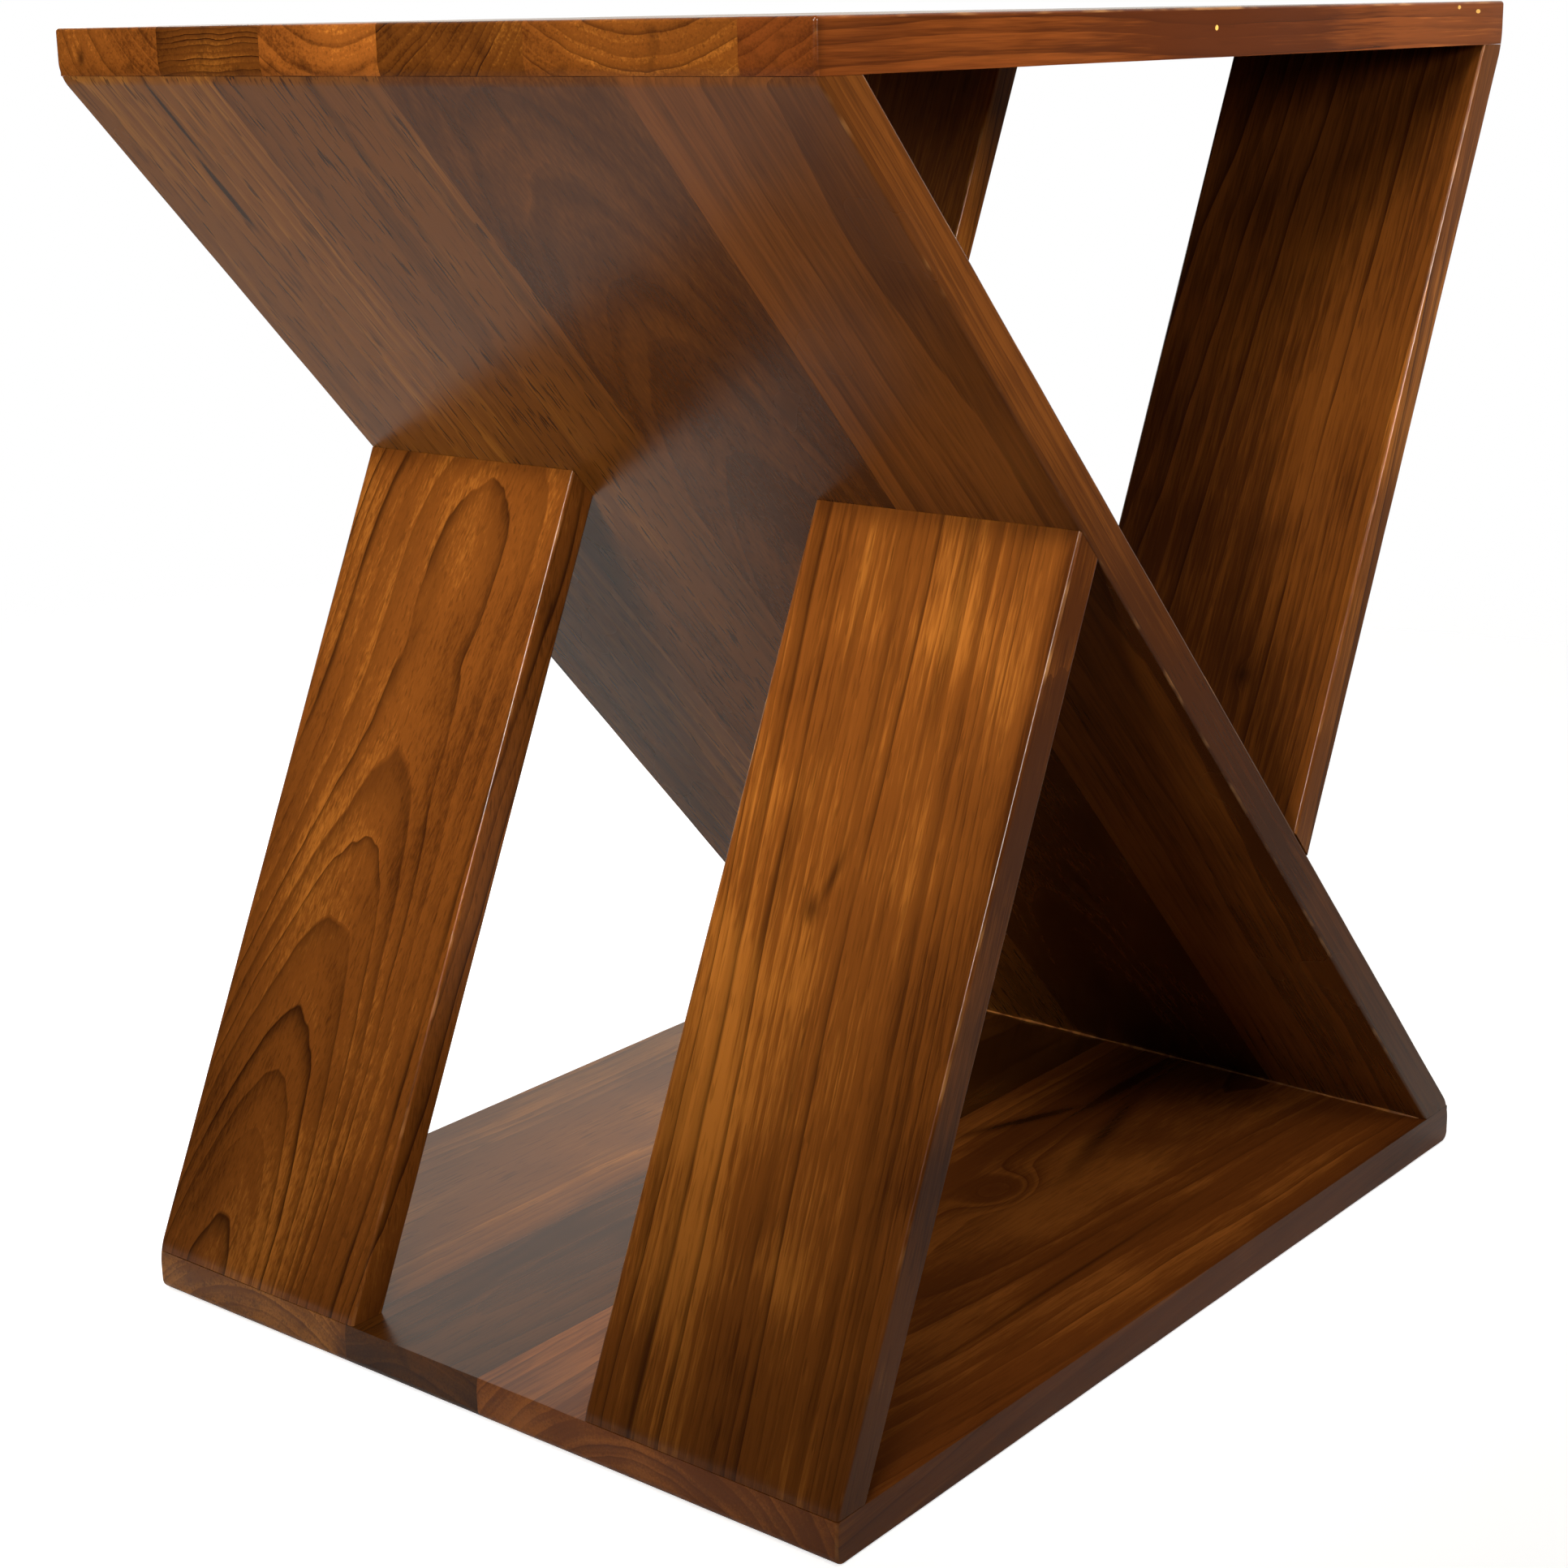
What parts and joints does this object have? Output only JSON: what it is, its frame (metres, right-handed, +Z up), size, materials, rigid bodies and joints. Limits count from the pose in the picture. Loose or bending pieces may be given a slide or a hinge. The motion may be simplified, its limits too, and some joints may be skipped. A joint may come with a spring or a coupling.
{
  "type": "magazine rack",
  "caption": "Z-shaped wooden side table with two open magazine pockets, made of edge-glued boards with slats across each open side.",
  "frame": {"origin": "on the floor under the middle of the rack", "axes": "+X to the right seen from the front, +Y to the back, +Z up"},
  "size_m": [0.39, 0.504, 0.555],
  "materials": {
    "top_board": "stained teak, satin varnish",
    "panel_board": "stained teak, satin varnish",
    "bottom_board": "stained teak, satin varnish",
    "slats": "stained teak, satin varnish",
    "dowels": "bare beech",
    "tongues": "bare birch plywood"
  },
  "bodies": {
    "root": {"top_stave_1": "top_board", "top_stave_2": "top_board", "top_stave_3": "top_board", "top_stave_4": "top_board", "top_stave_5": "top_board", "top_stave_6": "top_board", "panel_stave_1": "panel_board", "panel_stave_2": "panel_board", "panel_stave_3": "panel_board", "panel_stave_4": "panel_board", "bottom_stave_1": "bottom_board", "bottom_stave_2": "bottom_board", "bottom_stave_3": "bottom_board", "front_left_slat": "slats", "front_right_slat": "slats", "rear_left_slat": "slats", "rear_right_slat": "slats", "front_foot_dowels": "dowels", "front_head_dowels": "dowels", "rear_foot_dowels": "dowels", "rear_head_dowels": "dowels", "top_tongue": "tongues", "bottom_tongue": "tongues"}
  },
  "joints": []
}
